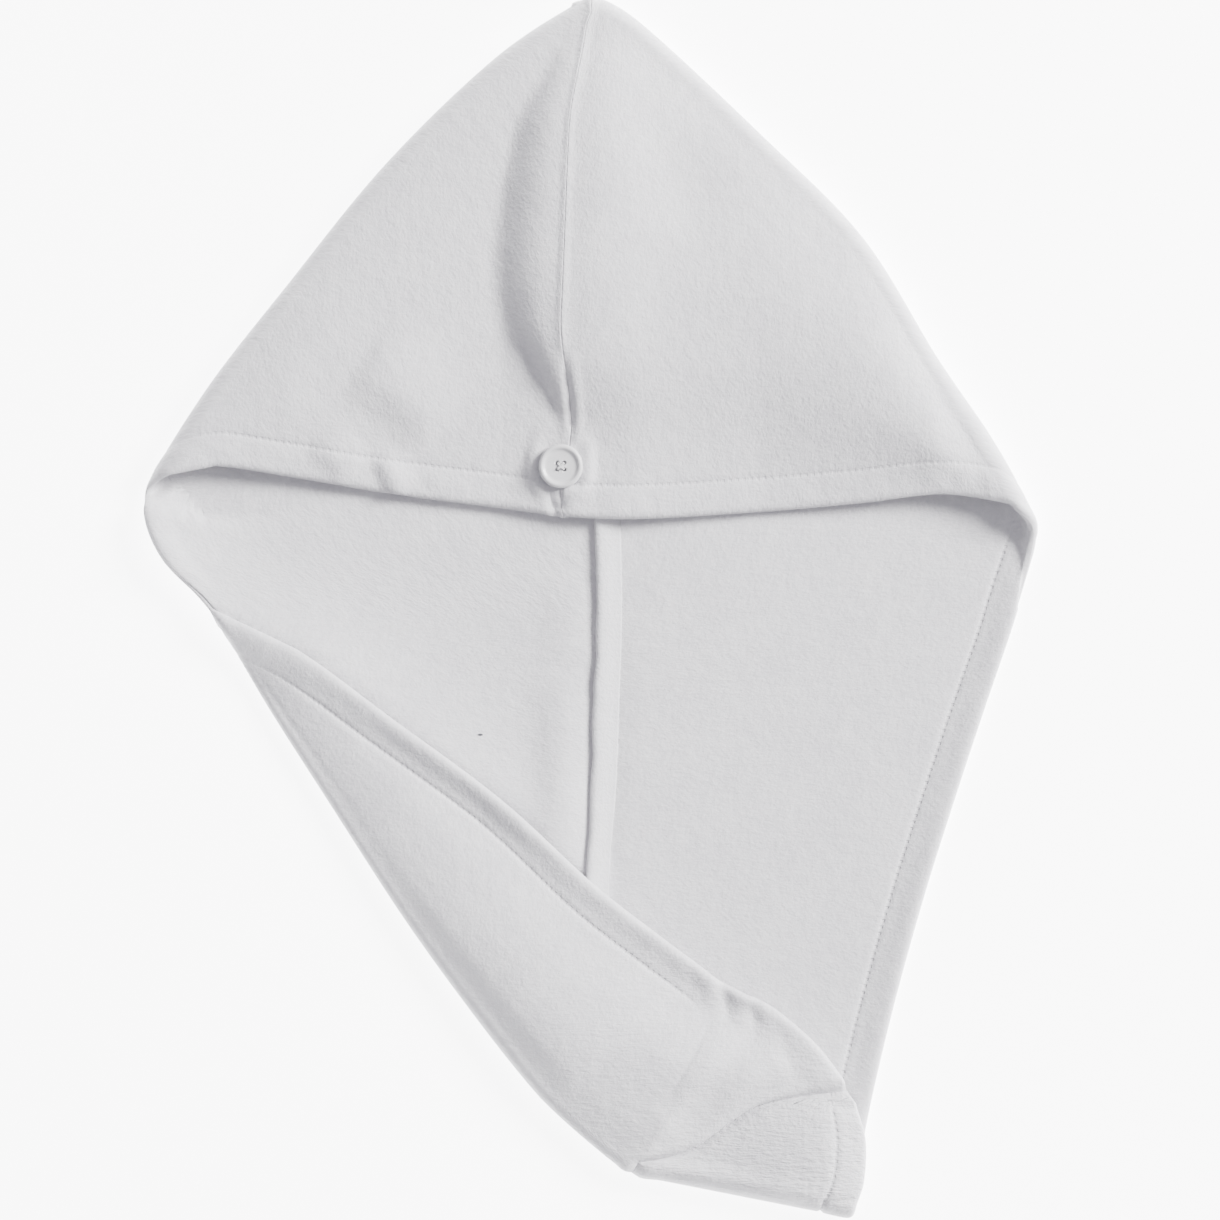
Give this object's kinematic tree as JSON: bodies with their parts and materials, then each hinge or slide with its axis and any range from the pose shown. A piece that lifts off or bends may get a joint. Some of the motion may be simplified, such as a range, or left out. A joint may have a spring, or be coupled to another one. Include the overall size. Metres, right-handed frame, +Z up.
{
  "type": "hair turban towel",
  "caption": "Soft hooded wrap for wet hair, lying flat: mirrored cloth panels joined by a centre seam, hemmed opening, tapering tail turned over, round button.",
  "frame": {"origin": "under the middle of the lying towel, on the surface it rests on", "axes": "+Y from the tail's end towards the hood's tip, +X towards the right panel, +Z up"},
  "size_m": [0.438, 0.599, 0.019],
  "materials": {
    "fleece": "short white plush pile",
    "seam": "overlocked white fleece edge",
    "button": "smooth white plastic",
    "thread": "white sewing thread"
  },
  "bodies": {
    "root": {"left_panel": "fleece", "right_panel": "fleece", "centre_seam": "seam", "button": "button", "button_thread": "thread"}
  },
  "joints": []
}
